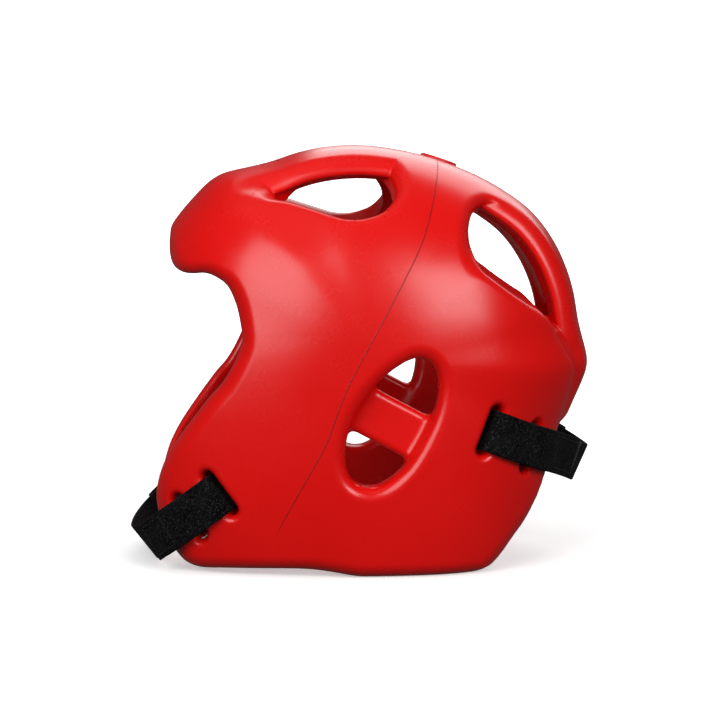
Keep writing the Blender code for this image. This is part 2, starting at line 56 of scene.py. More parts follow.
FORM_PROFILE = (
    (-25, 0.1264, 0.1100), (-16, 0.1264, 0.1110), (-9, 0.1295, 0.1120), (-4, 0.1320, 0.1125),
    (1, 0.1290, 0.1120), (8, 0.1261, 0.1110), (15, 0.1269, 0.1100), (23, 0.1276, 0.1095),
    (32, 0.1281, 0.1090), (42, 0.1275, 0.1085), (50, 0.1252, 0.1075), (58, 0.1234, 0.1065),
    (68, 0.1219, 0.1063), (83, 0.1226, 0.1065), (100, 0.1266, 0.1090), (112, 0.1298, 0.1115),
    (120, 0.1320, 0.1130), (127, 0.1382, 0.1145), (132, 0.1444, 0.1155), (136, 0.1458, 0.1165),
    (141, 0.1462, 0.1172), (147, 0.1474, 0.1180), (152, 0.1475, 0.1184), (158, 0.1464, 0.1190),
    (165, 0.1470, 0.1195), (174, 0.1515, 0.1210), (188, 0.1610, 0.1290), (200, 0.1725, 0.1450),
    (213, 0.1890, 0.1650), (230, 0.2130, 0.1880), (262, 0.2400, 0.2080), (283, 0.2250, 0.1960),
    (297, 0.1890, 0.1650), (308, 0.1610, 0.1410), (322, 0.1405, 0.1210),
)

FACE_OPENING = (
    (-0.1500, 0.2100), (-0.1240, 0.2010), (-0.1196, 0.1945), (-0.1182, 0.1895), (-0.1160, 0.1838),
    (-0.1128, 0.1800), (-0.1075, 0.1778), (-0.1010, 0.1776), (-0.0950, 0.1782), (-0.0885, 0.1764),
    (-0.0812, 0.1712), (-0.0762, 0.1607), (-0.0736, 0.1492), (-0.0728, 0.1380), (-0.0775, 0.1260),
    (-0.0845, 0.1142), (-0.0938, 0.1034), (-0.1103, 0.0809), (-0.1175, 0.0692), (-0.1222, 0.0587),
    (-0.1248, 0.0472), (-0.1246, 0.0392), (-0.1226, 0.0297), (-0.1190, 0.0212), (-0.1140, 0.0122),
    (-0.1075, 0.0053),
)
LOWER_EDGE = (
    (-0.0985, 0.0025), (-0.0850, 0.0031), (-0.0720, 0.0037), (-0.0480, 0.0045), (-0.0340, 0.0044),
    (-0.0225, 0.0031), (-0.0145, 0.0017), (-0.0075, 0.0005), (-0.0010, -0.0002),
)
EAR_OPENING = (
    (-0.0130, 0.0712), (-0.0090, 0.0932), (0.0060, 0.1162), (0.0270, 0.1302), (0.0400, 0.1232),
    (0.0395, 0.1002), (0.0250, 0.0712), (0.0080, 0.0562), (-0.0070, 0.0572),
)
EAR_BAR_CENTRE = np.array((0.0130, 0.0865, 0.0920))
EAR_BAR_TILT = math.radians(28.0)
EAR_BAR_SIZE = np.array((0.062, 0.010, 0.028))

FLAP_EDGE = (
    (0.0500, -0.0085), (0.0610, -0.0045), (0.0688, -0.0012), (0.0750, 0.0025), (0.0798, 0.0065),
    (0.0846, 0.0116), (0.0898, 0.0178), (0.0960, 0.0243), (0.1020, 0.0313), (0.1070, 0.0387),
    (0.1106, 0.0457), (0.1155, 0.0582), (0.1203, 0.0702), (0.1235, 0.0812),
)
NAPE_ARCH = (
    (0.0610, -0.0200), (0.0600, 0.0000), (0.0570, 0.0222), (0.0525, 0.0432), (0.0465, 0.0612),
    (0.0360, 0.0762), (0.0180, 0.0842),
)
NAPE_ARCH_FRONT_X = 0.045

FRONT_VENT = (
    (-0.0545, 0.0575, 0.2272), (-0.0447, 0.0645, 0.2239), (-0.0347, 0.0708, 0.2204),
    (-0.0222, 0.0771, 0.2163), (-0.0125, 0.0802, 0.2137), (-0.0020, 0.0808, 0.2137),
    (0.0085, 0.0781, 0.2174), (0.0155, 0.0719, 0.2243), (0.0182, 0.0651, 0.2307),
    (0.0176, 0.0580, 0.2350), (0.0150, 0.0460, 0.2410), (0.0070, 0.0290, 0.2500),
    (-0.0100, 0.0210, 0.2540), (-0.0380, 0.0240, 0.2480), (-0.0540, 0.0390, 0.2385),
    (-0.0580, 0.0500, 0.2315),
)
REAR_VENT = (
    (0.0610, 0.0780, 0.2011), (0.0620, 0.0725, 0.2075), (0.0645, 0.0665, 0.2135),
    (0.0695, 0.0605, 0.2180), (0.0770, 0.0560, 0.2200), (0.0870, 0.0500, 0.2150),
    (0.0980, 0.0400, 0.2120), (0.1100, 0.0280, 0.2040), (0.1250, 0.0180, 0.1850),
    (0.1340, 0.0160, 0.1600), (0.1350, 0.0280, 0.1390), (0.1290, 0.0460, 0.1345),
    (0.1190, 0.0580, 0.1400), (0.1064, 0.0701, 0.1527), (0.0965, 0.0769, 0.1592),
    (0.0871, 0.0817, 0.1654), (0.0758, 0.0853, 0.1736), (0.0670, 0.0865, 0.1808),
    (0.0620, 0.0830, 0.1920),
)
FRONT_VENT_AIM = FORM_CENTRE
REAR_VENT_AIM = (0.060, 0.0, 0.2040)
BAND_HALF_WIDTH = 0.0480
BAND_INNER_HALF_WIDTH = 0.028
BAND_SIDE_HEIGHT = 0.0077
BAND_DEPTH = 0.018

# The mould's parting line in side view: height and X, from the crown to the table.
PARTING_LINE = (
    (0.262, 0.0505), (0.236, 0.0440), (0.209, 0.0362), (0.192, 0.0296), (0.1635, 0.0145),
    (0.136, -0.0005), (0.119, -0.0095), (0.1025, -0.0165), (0.084, -0.0230), (0.066, -0.0322),
    (0.045, -0.0438), (0.024, -0.0545), (0.000, -0.0640),
)
PARTING_BEAD = 0.00042  # radius
PARTING_FADE = (0.012, 0.045)  # the bead grows from nothing between these heights

BADGE_RADIUS = 0.0118
BADGE_THICKNESS = 0.0018
BADGE_ANGLE = 71.5

STRAP_WIDTH = 0.025
WEBBING = 0.0016
TAPE = 0.0010
TAPE_WIDTH = 0.023
GAP = 0.0003
BEHIND_BRIDGE = 0.0022
FOLD = (0.0035, 0.0019)
SLOT_WIDTH = 0.008
SLOT_LENGTH = 0.031

STRAPS = {
    "rear": {
        "slot": Vector((0.0730, 0.0, 0.0868)),
        "slope": math.radians(-23.8),
        "slot_spacing": 0.0350,
        "outer_slot_drop": 0.0006,
        "leaves_shell": 0.042,
        "crossing": 0.0715,
        "sag": 0.0025,
        "tail_length": 0.0870,
        "loop_start": 0.0480,
        "loop_end": 0.0980,
    },
    "chin": {
        "slot": Vector((-0.0874, 0.0, 0.0498)),
        "slope": math.radians(180.0 + 39.5),
        "slot_spacing": 0.0262,
        "outer_slot_drop": 0.0005,
        "leaves_shell": 0.040,
        "crossing": 0.0606,
        "sag": 0.0,
        "tail_length": 0.0580,
        "loop_start": 0.0350,
        "loop_end": 0.0640,
    },
}
SIDES = {"left": -1.0, "right": 1.0}

# ---- The moulded shell: edges, grooves and mesh fineness ----

SHELL_CELL = 0.0017
PROFILE_SOFTNESS = 2.2  # degrees
SIDE_EDGE = (0.0090, 0.0060)  # outer and inner radius of the face, flap and lower edges
EAR_EDGE = (0.0085, 0.0060)
NAPE_EDGE = (0.0075, 0.0060)
CRISP_EDGE = 0.0032  # where the rear vent meets the side panel
VENT_EDGE = 0.0095
VENT_INNER_EDGE = 0.0022
SLOT_EDGE = 0.0046
CORNER = 0.004
BAND_EDGE = 0.004
BAR_EDGE = 0.0042
BAR_FILLET = 0.0060

# The vents' outer edges turn crisp past these places in X and Y, and under this one in Z.
CRISP_X = (0.055, 0.070)
CRISP_Y = (0.050, 0.062)
CRISP_Z = (0.180, 0.198)
VENTS_ABOVE = 0.10

SHELL_BOX = (-0.131, 0.0, -0.006), (0.150, 0.110, 0.258)
SURFACE_REACH = 0.035  # what is cut in the wall is worked out only this near its outer face
OUTLINE_STEPS = 8

# Grooves in the outer face, behind the rear vent and beside the brow: points, depth at each, and
# half width.
GROOVES = (
    (
        ((0.1160, 0.0600, 0.1445), (0.1240, 0.0540, 0.1350), (0.1290, 0.0480, 0.1270),
         (0.1300, 0.0460, 0.1190), (0.1300, 0.0430, 0.1080), (0.1250, 0.0400, 0.0900)),
        (0.0030, 0.0050, 0.0055, 0.0050, 0.0040, 0.0015),
        0.0050,
    ),
    (
        ((-0.0530, 0.057, 0.2300), (-0.0640, 0.052, 0.2330), (-0.0800, 0.047, 0.2300)),
        (0.0050, 0.0036, 0.0002),
        0.0070,
    ),
)

# ---- Webbing, tapes and stitches: mesh fineness and thread ----

BAND_CELLS = 46
BAND_STEP = 0.00055
MARK_STEP = 0.0015
STITCH_PITCH = 0.0030
STITCH_INSET = 0.0020
STITCH_ENDS = (0.08, 0.92)  # the part of each pitch that the thread takes up
STITCH_RISE = 0.00022
STITCH_SUNK = 0.00025
THREAD_RADII = (0.00008, 0.00026, 0.00032, 0.00034, 0.00032, 0.00026, 0.00008)

# ---- Camera and lights ----

CAMERA_AZIMUTH, CAMERA_ELEVATION = -2.7, 5.5
CAMERA_TARGET = Vector((0.0, 0.0, 0.1203))
CAMERA_DISTANCE = 1.3
CAMERA_LENS, CAMERA_SENSOR = 104.0, 36.0
LIGHT_TARGET = Vector((0.0, 0.0, 0.13))
WORLD_STRENGTH = 0.07


# ---- Curves and distances ----


def catmull(points, per_span, closed=False):
    """A smooth curve through the points."""
    pts = np.array(points, float)
    if closed:
        a, b, c, d = (np.roll(pts, -k, axis=0) for k in (-1, 0, 1, 2))
    else:
        pad = np.vstack([2 * pts[0] - pts[1], pts, 2 * pts[-1] - pts[-2]])
        a, b, c, d = pad[:-3], pad[1:-2], pad[2:-1], pad[3:]
    t = (np.arange(per_span) / per_span)[None, :, None]
    a, b, c, d = (q[:, None, :] for q in (a, b, c, d))
    curve = b + 0.5 * ((c - a) * t + (2 * a - 5 * b + 4 * c - d) * t**2 + (3 * b - a - 3 * c + d) * t**3)
    curve = curve.reshape(-1, pts.shape[1])
    return curve if closed else np.vstack([curve, pts[-1]])


def outline_distance(u, v, outline):
    """Distance to a closed flat outline, positive inside it."""
    best = np.full(u.shape, np.inf)
    inside = np.zeros(u.shape, bool)
    for (au, av), (bu, bv) in zip(outline, np.roll(outline, -1, axis=0)):
        du, dv = bu - au, bv - av
        share = np.clip(((u - au) * du + (v - av) * dv) / (du * du + dv * dv + 1e-18), 0, 1)
        best = np.minimum(best, (u - au - share * du) ** 2 + (v - av - share * dv) ** 2)
        if av != bv:
            crosses = (av > v) != (bv > v)
            inside ^= crosses & (u < du * (v - av) / dv + au)
    return np.where(inside, 1.0, -1.0) * np.sqrt(best)


def round_max(a, b, r):
    """The larger of two distances, with the edge where they meet rounded to radius r."""
    corner = np.hypot(np.maximum(a + r, 0), np.maximum(b + r, 0))
    return np.minimum(np.maximum(a, b), -r) + corner


def smooth_min(a, b, k):
    h = np.maximum(k - np.abs(a - b), 0) / k
    return np.minimum(a, b) - h * h * k / 4


def smooth_step(x, low, high):
    t = np.clip((x - low) / (high - low), 0, 1)
    return t * t * (3 - 2 * t)


class Table:
    """A function of two numbers, kept on a grid and read back smoothly."""

    def __init__(self, low, high, step, make):
        self.low, self.step = low, step
        u = np.arange(low[0], high[0], step)
        v = np.arange(low[1], high[1], step)
        self.values = make(*np.meshgrid(u, v, indexing="ij"))

    def __call__(self, u, v):
        rows, columns = self.values.shape
        s = np.clip((u - self.low[0]) / self.step, 0, rows - 1.001)
        t = np.clip((v - self.low[1]) / self.step, 0, columns - 1.001)
        i, j = s.astype(int), t.astype(int)
        s, t = s - i, t - j
        q = self.values
        near = q[i, j] * (1 - t) + q[i, j + 1] * t
        far = q[i + 1, j] * (1 - t) + q[i + 1, j + 1] * t
        return near * (1 - s) + far * s


# ---- The head form ----


def form_radius(angle, inner):
    """Radius of the outer or inner face in the X-Z plane, at an angle in radians."""
    knots = [(math.radians(k[0]), k[2] if inner else k[1]) for k in FORM_PROFILE]
    turn = 2 * math.pi
    while angle < knots[0][0]:
        angle += turn
    while angle >= knots[0][0] + turn:
        angle -= turn
    count = len(knots)
    index = max(i for i in range(count) if knots[i][0] <= angle)

    def knot(i):
        return knots[i % count][0] + turn * (i // count), knots[i % count][1]

    (a0, r0), (a1, r1), (a2, r2), (a3, r3) = (knot(index + k) for k in (-1, 0, 1, 2))
    span = a2 - a1
    t = (angle - a1) / span
    start = (r2 - r0) / (a2 - a0) * span
    end = (r3 - r1) / (a3 - a1) * span
    return (
        (2 * t**3 - 3 * t**2 + 1) * r1
        + (t**3 - 2 * t**2 + t) * start
        + (3 * t**2 - 2 * t**3) * r2
        + (t**3 - t**2) * end
    )


def half_width(x, z, inner=False):
    """How far the face stands from the middle plane at a side-view position, or None outside it."""
    dx, dz = x - FORM_CENTRE[0], z - FORM_CENTRE[2]
    share = math.hypot(dx, dz) / form_radius(math.atan2(dz, dx), inner)
    if share >= 1.0:
        return None
    widest = INNER_HALF_WIDTH if inner else OUTER_HALF_WIDTH
    return widest * (1.0 - share**FORM_ROUNDNESS) ** (1.0 / FORM_ROUNDNESS)


class Form:
    """The outer or inner head form as a distance, negative inside it."""

    STEPS = 3600

    def __init__(self, inner):
        raw = np.array([form_radius(2 * math.pi * i / self.STEPS, inner) for i in range(self.STEPS)])
        reach = np.fft.fftfreq(self.STEPS, 1 / self.STEPS)
        sigma = math.radians(PROFILE_SOFTNESS)
        blur = np.exp(-0.5 * (reach * sigma) ** 2)
        self.radius = np.fft.ifft(np.fft.fft(raw) * blur).real
        turn = 2 * math.pi / self.STEPS
        self.slope = (np.roll(self.radius, -1) - np.roll(self.radius, 1)) / (2 * turn)
        self.widest = INNER_HALF_WIDTH if inner else OUTER_HALF_WIDTH

    def read(self, table, place):
        i = np.floor(place).astype(int)
        share = place - i
        return table[i % self.STEPS] * (1 - share) + table[(i + 1) % self.STEPS] * share

    def distance(self, x, y, z):
        dx, dz = x - FORM_CENTRE[0], z - FORM_CENTRE[2]
        place = np.arctan2(dz, dx) / (2 * math.pi) % 1.0 * self.STEPS
        rho, slope = self.read(self.radius, place), self.read(self.slope, place)
        n = FORM_ROUNDNESS
        t, v = np.hypot(dx, dz) / rho, np.abs(y) / self.widest
        f = (t**n + v**n) ** (1 / n) + 1e-9
        ft, fv = (t / f) ** (n - 1), (v / f) ** (n - 1)
        steep = ft**2 * (1 / rho**2 + (slope / rho**2) ** 2) + fv**2 / self.widest**2
        return (f - 1) / np.sqrt(steep)


OUTER, INNER = Form(False), Form(True)


# ---- Straps: where they run ----


class StrapRun:
    """One side of a strap, from its inner slot to the middle plane, as in the CAD."""

    STEP = 0.002
    BEHIND_SLOT = 0.012
    BEND_STEPS = 10

    def __init__(self, size, side):
        self.side = side
        self.slot = size["slot"]
        self.sag = size["sag"]
        self.along = Vector((math.cos(size["slope"]), 0.0, math.sin(size["slope"])))
        self.upward = self.along.cross(Vector((0.0, 1.0, 0.0)))
        if self.upward.z < 0:
            self.upward.negate()
        self.line, self.twist = [], []
        self._lay_on_shell(size["leaves_shell"])
        self._bend_round(size["crossing"])
        self.marks = self._measure()

    def _lay_on_shell(self, leaves_shell):
        steps = round((leaves_shell + self.BEHIND_SLOT) / self.STEP)
        for i in range(steps + 1):
            s = leaves_shell - (steps - i) * self.STEP
            place = self.slot + self.along * s
            rise = self._slope(place, self.upward)
            run = self._slope(place, self.along)
            self.line.append(Vector((s, half_width(place.x, place.z))))
            self.twist.append(math.atan2(rise, math.hypot(1.0, run)))

    def _slope(self, place, direction):
        small = 0.0005
        ahead, behind = place + direction * small, place - direction * small
        return (half_width(ahead.x, ahead.z) - half_width(behind.x, behind.z)) / (2 * small)

    def _bend_round(self, crossing):
        start, twist = self.line[-1], self.twist[-1]
        heading = start - self.line[-2]
        corner = start + heading * ((crossing - start.x) / heading.x)
        end = Vector((crossing, 0.0))
        for i in range(1, self.BEND_STEPS + 1):
            t = i / self.BEND_STEPS
            self.line.append(start * (1 - t) ** 2 + corner * 2 * t * (1 - t) + end * t**2)
            self.twist.append(twist * (1 - t) ** 2)

    def _measure(self):
        walked = [0.0]
        for a, b in zip(self.line, self.line[1:]):
            walked.append(walked[-1] + (b - a).length)
        first = max(i for i, p in enumerate(self.line) if p.x <= 0.0)
        share = -self.line[first].x / (self.line[first + 1].x - self.line[first].x)
        origin = walked[first] + share * (walked[first + 1] - walked[first])
        self.free_from = walked[len(self.line) - 1 - self.BEND_STEPS] - origin
        return [w - origin for w in walked]

    @property
    def length(self):
        return self.marks[-1]

    def _tangent(self, i):
        if i == len(self.line) - 1:
            return Vector((0.0, -1.0))
        return (self.line[i + 1] - self.line[max(i - 1, 0)]).normalized()

    def point(self, u, lift=0.0, across=0.0):
        i = max([k for k, mark in enumerate(self.marks[:-1]) if mark <= u], default=0)
        share = (u - self.marks[i]) / (self.marks[i + 1] - self.marks[i])
        place = self.line[i].lerp(self.line[i + 1], share)
        tangent = self._tangent(i).lerp(self._tangent(i + 1), share).normalized()
        twist = self.twist[i] + (self.twist[i + 1] - self.twist[i]) * share
        rise = lift * math.cos(twist) + across * math.sin(twist)
        free = max(0.0, (u - self.free_from) / (self.length - self.free_from))
        over = across * math.cos(twist) - lift * math.sin(twist) - self.sag * free * free
        place = place + Vector((-tangent.y, tangent.x)) * rise
        return self.slot + self.along * place.x + self.upward * over + Vector((0, self.side * place.y, 0))

    def wall(self, u):
        depth = 0.0
        for across in (-STRAP_WIDTH / 2, 0.0, STRAP_WIDTH / 2):
            while depth < 0.06:
                place = self.point(u, -depth, across)
                inside = half_width(place.x, place.z, inner=True)
                if inside is not None and abs(place.y) < inside:
                    break
                depth += 0.0002
        return depth


# ---- The shell as one distance ----


class Vent:
    """A hole whose walls run towards one point, as a distance, positive in the hole."""

    REACH, STEP = 2.2, 0.008

    def __init__(self, rim, aim):
        self.aim = np.array(aim)
        rays = catmull(rim, OUTLINE_STEPS, closed=True) - self.aim
        rays /= np.linalg.norm(rays, axis=1)[:, None]
        self.out = rays.mean(axis=0)
        self.out /= np.linalg.norm(self.out)
        self.side = np.cross(self.out, (0.0, 1.0, 0.0))
        self.side /= np.linalg.norm(self.side)
        self.up = np.cross(self.out, self.side)
        loop = np.stack(self.chart(rays), axis=1)
        low, high = (-self.REACH, -self.REACH), (self.REACH, self.REACH)
        self.table = Table(low, high, self.STEP, lambda u, v: outline_distance(u, v, loop))

    def chart(self, rays):
        scale = 2 / np.maximum(1 + rays @ self.out, 0.2)
        return rays @ self.side * scale, rays @ self.up * scale

    def distance(self, points):
        rays = points - self.aim
        reach = np.linalg.norm(rays, axis=1) + 1e-9
        u, v = self.chart(rays / reach[:, None])
        return self.table(u, v) * reach / (1 + (u * u + v * v) / 4)


def beside_band(y, outer):
    """Distance past the side of the crown band, whose underside slopes in to its inner face."""
    lean = (BAND_DEPTH - BAND_SIDE_HEIGHT) / (BAND_HALF_WIDTH - BAND_INNER_HALF_WIDTH)
    below = (-outer - BAND_DEPTH + lean * (y - BAND_INNER_HALF_WIDTH)) / math.hypot(1, lean)
    return -smooth_min(-below, BAND_HALF_WIDTH - y, BAND_EDGE)


def side_cut(u, v):
    """The face opening, the flaps' rear edge and the floor, in side view."""
    below = [(0.26, LOWER_EDGE[-1][1]), (0.26, -0.03), (-0.26, -0.03), (-0.26, FACE_OPENING[0][1])]
    face = np.vstack([catmull((*FACE_OPENING, *LOWER_EDGE), OUTLINE_STEPS), below])
    behind = [(0.26, FLAP_EDGE[-1][1]), (0.26, FLAP_EDGE[0][1])]
    flap = np.vstack([catmull(FLAP_EDGE, OUTLINE_STEPS), behind])
    front, rear = outline_distance(u, v, face), outline_distance(u, v, flap)
    return round_max(np.maximum(front, -v), rear, CORNER)


SIDE_LOW, SIDE_HIGH = (-0.17, -0.03), (0.18, 0.28)
REAR_LOW, REAR_HIGH = (-0.01, -0.03), (0.13, 0.28)
TABLE_STEP = 0.001
ear = catmull(EAR_OPENING, OUTLINE_STEPS, closed=True)
half_arch = catmull(NAPE_ARCH, OUTLINE_STEPS)
arch = np.vstack([half_arch, half_arch[::-1] * (-1, 1)])
SIDE = Table(SIDE_LOW, SIDE_HIGH, TABLE_STEP, side_cut)
EAR = Table(SIDE_LOW, SIDE_HIGH, TABLE_STEP, lambda u, v: outline_distance(u, v, ear))
ARCH = Table(REAR_LOW, REAR_HIGH, TABLE_STEP, lambda u, v: outline_distance(u, v, arch))
VENTS = (Vent(FRONT_VENT, FRONT_VENT_AIM), Vent(REAR_VENT, REAR_VENT_AIM))


def slot_frames():
    frames = []
    for size in STRAPS.values():
        run = StrapRun(size, 1.0)
        for u, drop in ((0.0, 0.0), (size["slot_spacing"], size["outer_slot_drop"])):
            centre = run.point(u, 0.0, -drop)
            outward = (run.point(u, 0.001, -drop) - centre).normalized()
            upward = (run.point(u, 0.0, 0.001 - drop) - centre).normalized()
            frames.append([np.array(q) for q in (centre, outward, upward, upward.cross(outward))])
    return frames


SLOTS = slot_frames()


def groove(points, path, depths, width):
    """Depth of a groove along a path."""
    best = np.full(len(points), np.inf)
    deep = np.zeros(len(points))
    for a, b, da, db in zip(path, path[1:], depths, depths[1:]):
        a, b = np.array(a), np.array(b)
        share = np.clip((points - a) @ (b - a) / ((b - a) @ (b - a)), 0, 1)
        gap = np.linalg.norm(points - a - share[:, None] * (b - a), axis=1)
        nearer = gap < best
        best = np.where(nearer, gap, best)
        deep = np.where(nearer, da + (db - da) * share, deep)
    return deep * np.exp(-0.5 * (best / width) ** 2)


def cut(solid, outer, inner, hole, outer_edge, inner_edge):
    edges = np.maximum(round_max(outer, hole, outer_edge), round_max(inner, hole, inner_edge))
    return np.maximum(solid, edges)


def shell_distance(points):
    """Distance to the moulded shell, negative in the foam. Both halves are alike."""
    points = points * (1, 0, 1) + np.abs(points) * (0, 1, 0)
    x, y, z = points.T
    outer, inner = OUTER.distance(x, y, z), -INNER.distance(x, y, z)
    near = np.flatnonzero(np.abs(outer) < SURFACE_REACH)
    for path, depths, width in GROOVES:
        outer[near] += groove(points[near], path, depths, width)
    solid = cut(np.maximum(outer, inner), outer, inner, SIDE(x, z), *SIDE_EDGE)
    solid = cut(solid, outer, inner, EAR(x, z), *EAR_EDGE)
    nape = np.minimum(ARCH(y, z), x - NAPE_ARCH_FRONT_X)
    solid = cut(solid, outer, inner, nape, *NAPE_EDGE)
    spot, top, low = points[near], outer[near], inner[near]
    crisp = smooth_step(spot[:, 0], *CRISP_X) * (1 - smooth_step(spot[:, 2], *CRISP_Z))
    crisp *= smooth_step(spot[:, 1], *CRISP_Y)
    edge = VENT_EDGE + (CRISP_EDGE - VENT_EDGE) * crisp
    beside = beside_band(spot[:, 1], top)
    for vent in VENTS:
        hole = np.minimum(vent.distance(spot), beside)
        hole = np.where(spot[:, 2] > VENTS_ABOVE, hole, -1.0)
        solid[near] = cut(solid[near], top, low, hole, edge, VENT_INNER_EDGE)
    for centre, outward, upward, forward in SLOTS:
        local = spot - centre
        span = np.maximum(np.abs(local @ upward) - (SLOT_LENGTH - SLOT_WIDTH) / 2, 0)
        hole = SLOT_WIDTH / 2 - np.hypot(local @ forward, span)
        hole = np.where(np.abs(local @ outward) < SURFACE_REACH, hole, -1.0)
        solid[near] = cut(solid[near], top, low, hole, SLOT_EDGE, SLOT_EDGE)
    return smooth_min(solid, bar_distance(points), BAR_FILLET)


def bar_distance(points):
    """The bar across the ear opening."""
    local = points - EAR_BAR_CENTRE
    along = np.array((math.cos(EAR_BAR_TILT), 0, -math.sin(EAR_BAR_TILT)))
    up = np.array((math.sin(EAR_BAR_TILT), 0, math.cos(EAR_BAR_TILT)))
    place = np.abs(np.stack([local @ along, local[:, 1], local @ up], axis=1))
    over = place - EAR_BAR_SIZE / 2 + BAR_EDGE
    return np.linalg.norm(np.maximum(over, 0), axis=1) + np.minimum(over.max(axis=1), 0) - BAR_EDGE


def gradient(points, small=0.0006):
    made = np.zeros_like(points)
    for axis in range(3):
        step = np.zeros(3)
        step[axis] = small
        made[:, axis] = shell_distance(points + step) - shell_distance(points - step)
    return made / (2 * small)


def pull_on(points):
    """Moves points on to the shell's surface."""
    slope = gradient(points)
    steep = np.maximum((slope**2).sum(axis=1), 0.05)
    return points - slope * (shell_distance(points) / steep)[:, None]


# ---- Meshes ----


def add_object(name, data):
    """Puts a mesh, a light or a camera in the scene."""
    obj = bpy.data.objects.new(name, data)
    bpy.context.scene.collection.objects.link(obj)
    return obj


def add_mesh(name, verts, faces, look, uvs=None, normals=None):
    """A smooth mesh. The UV places and the normals, if any, are given point by point."""
    mesh = bpy.data.meshes.new(name)
    mesh.from_pydata(np.asarray(verts, float).tolist(), [], faces)
    mesh.polygons.foreach_set("use_smooth", [True] * len(faces))
    if uvs is not None:
        layer = mesh.uv_layers.new(name="along")
        loops = np.zeros(len(mesh.loops), np.int32)
        mesh.loops.foreach_get("vertex_index", loops)
        layer.data.foreach_set("uv", np.asarray(uvs, np.float32)[loops].ravel())
    mesh.materials.append(look)
    if normals is not None:
        mesh.normals_split_custom_set_from_vertices(normals)
    return add_object(name, mesh)


def ring_quads(rows, ring):
    """The quads between rings of points that follow one another."""
    i, j = np.meshgrid(np.arange(rows - 1), np.arange(ring), indexing="ij")
    k = (j + 1) % ring
    corners = (i * ring + j, (i + 1) * ring + j, (i + 1) * ring + k, i * ring + k)
    return np.stack(corners, axis=-1).reshape(-1, 4)


def mesh_surface(low, high, cell):
    """Quads on the shell's surface: one point in each grid cell that it crosses."""
    low, high = np.array(low), np.array(high)
    count = np.ceil((high - low) / cell).astype(int) + 1
    axes = [low[k] + cell * np.arange(count[k]) for k in range(3)]
    axes[1] = cell * (np.arange(count[1]) + 0.5)
    half = np.stack(np.meshgrid(*axes, indexing="ij"), axis=-1).reshape(-1, 3)
    values = shell_distance(half).reshape([len(a) for a in axes])
    values = np.concatenate([values[:, ::-1], values], axis=1)
    origin = np.array((axes[0][0], -axes[1][-1], axes[2][0]))
    filled = values < 0
    ends = (slice(None, -1), slice(1, None))
    total = sum(filled[i, j, k].astype(np.int8) for i in ends for j in ends for k in ends)
    cells = np.argwhere((total > 0) & (total < 8))
    summed, crossings = np.zeros((len(cells), 3)), np.zeros(len(cells))
    for axis in range(3):
        others = [k for k in range(3) if k != axis]
        for a in (0, 1):
            for b in (0, 1):
                start = np.zeros(3, int)
                start[others[0]], start[others[1]] = a, b
                end = start.copy()
                end[axis] = 1
                v0 = values[tuple((cells + start).T)]
                v1 = values[tuple((cells + end).T)]
                crossed = (v0 < 0) != (v1 < 0)
                share = np.where(crossed, v0 / np.where(crossed, v0 - v1, 1), 0)
                place = start + (end - start) * share[:, None]
                summed += place * crossed[:, None]
                crossings += crossed
    verts = origin + cell * (cells + summed / crossings[:, None])
    index = -np.ones([n - 1 for n in values.shape], int)
    index[tuple(cells.T)] = np.arange(len(cells))
    faces = []
    for axis in range(3):
        b, c = (axis + 1) % 3, (axis + 2) % 3
        whole = (slice(None),)
        first, second = (filled[whole * axis + (end,) + whole * (2 - axis)] for end in ends)
        for edges, flip in ((np.argwhere(first & ~second), False), (np.argwhere(~first & second), True)):
            quad = []
            for db, dc in ((-1, -1), (0, -1), (0, 0), (-1, 0)):
                at = edges.copy()
                at[:, b] += db
                at[:, c] += dc
                quad.append(index[tuple(at.T)])
            quad = np.stack(quad, axis=1)
            faces.append(quad[:, ::-1] if flip else quad)
    return verts, np.vstack(faces)


def relax(verts, faces, rounds):
    """Evens out the quads, and keeps them on the surface."""
    ends = np.vstack([faces[:, [k, (k + 1) % 4]] for k in range(4)])
    ends = np.vstack([ends, ends[:, ::-1]])
    degree = np.bincount(ends[:, 0], minlength=len(verts))
    for _ in range(rounds):
        means = np.stack(
            [np.bincount(ends[:, 0], verts[ends[:, 1], k], len(verts)) for k in range(3)], axis=1
        ) / degree[:, None]
        verts = pull_on(verts + 0.6 * (means - verts))
    return pull_on(verts)


def tube(path, radii, squares, sides, squash=1.0):
    """A tube along a path, with a radius at each point and narrow open ends."""
    tangents = np.gradient(path, axis=0)
    tangents /= np.linalg.norm(tangents, axis=1)[:, None] + 1e-12
    across = np.cross(tangents, squares)
    across /= np.linalg.norm(across, axis=1)[:, None] + 1e-12
    up = np.cross(across, tangents)
    angles = 2 * math.pi * np.arange(sides) / sides
    ring = across[:, None] * np.cos(angles)[None, :, None]
    ring = ring + up[:, None] * squash * np.sin(angles)[None, :, None]
    verts = (path[:, None] + ring * np.asarray(radii)[:, None, None]).reshape(-1, 3)
    return verts, ring_quads(len(path), sides)[:, ::-1]


# ---- Materials ----


